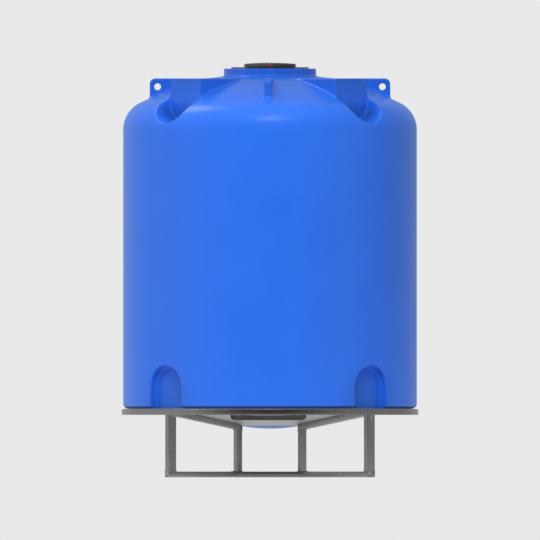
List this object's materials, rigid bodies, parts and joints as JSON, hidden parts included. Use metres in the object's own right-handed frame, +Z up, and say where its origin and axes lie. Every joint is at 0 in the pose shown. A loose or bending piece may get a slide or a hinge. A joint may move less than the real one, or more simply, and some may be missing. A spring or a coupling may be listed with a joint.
{
  "type": "cone-bottom storage tank",
  "caption": "Cone-bottomed plastic liquid tank resting on a round welded-tube stand, with lifting lugs, tie-down pockets, fitting recesses and a screw-in vented lid.",
  "frame": {"origin": "on the floor under the tank's axis", "axes": "+Z up along the tank's axis, -Y towards the side that has the lid's breather"},
  "size_m": [1.818, 1.818, 2.541],
  "materials": {
    "tank_plastic": "semi-gloss blue rotomoulded polyethylene",
    "frame_steel": "dark grey coated steel tube",
    "pan_sheet": "pale grey sheet steel",
    "black_plastic": "satin black moulded plastic",
    "black_rubber": "matt black rubber",
    "red_plastic": "red moulded plastic",
    "zinc_steel": "zinc-plated steel"
  },
  "bodies": {
    "stand": {"top_ring": "frame_steel", "cone_pan": "pan_sheet", "outer_leg_1": "frame_steel", "outer_leg_2": "frame_steel", "outer_leg_3": "frame_steel", "outer_leg_4": "frame_steel", "inner_leg_1": "frame_steel", "inner_leg_2": "frame_steel", "inner_leg_3": "frame_steel", "inner_leg_4": "frame_steel", "sloped_rail_1": "frame_steel", "sloped_rail_2": "frame_steel", "sloped_rail_3": "frame_steel", "sloped_rail_4": "frame_steel", "bottom_rail_1": "frame_steel", "bottom_rail_2": "frame_steel", "bottom_rail_3": "frame_steel", "bottom_rail_4": "frame_steel", "base_tie_1": "frame_steel", "base_tie_2": "frame_steel", "base_tie_3": "frame_steel", "base_tie_4": "frame_steel", "pan_stiffener_1": "frame_steel", "pan_stiffener_2": "frame_steel", "pan_stiffener_3": "frame_steel", "pan_stiffener_4": "frame_steel"},
    "tank": {"tank_shell": "tank_plastic", "neck_flange": "black_plastic", "flange_gasket": "black_rubber", "flange_screw_1": "zinc_steel", "flange_screw_2": "zinc_steel", "flange_screw_3": "zinc_steel", "flange_screw_4": "zinc_steel", "flange_screw_5": "zinc_steel", "flange_screw_6": "zinc_steel", "flange_screw_7": "zinc_steel", "flange_screw_8": "zinc_steel"},
    "lid_ring": {"lid_seal": "black_rubber"},
    "lid": {"lid_cap": "black_plastic", "vent_body": "black_plastic", "vent_cap": "red_plastic", "vent_retainer": "zinc_steel", "vent_spring": "zinc_steel"},
    "vent_valve": {"vent_poppet": "black_rubber"}
  },
  "joints": [
    {"name": "tank_lift", "type": "slide", "parent": "stand", "child": "tank", "axis": [0, 0, 1], "range_m": [0, 0.25]},
    {"name": "lid_lift", "type": "slide", "parent": "tank", "child": "lid_ring", "axis": [0, 0, 1], "range_m": [0, 0.3]},
    {"name": "lid_turn", "type": "hinge", "parent": "lid_ring", "child": "lid", "pos_m": [0, 0, 2.52], "axis": [0, 0, 1], "range_deg": [0, 540]},
    {"name": "vent_open", "type": "slide", "parent": "lid", "child": "vent_valve", "axis": [0, 1, 0], "range_m": [0, 0.003], "stiffness_N_per_m": 10, "springref_m": -0.001, "deforming": ["vent_spring"]}
  ]
}
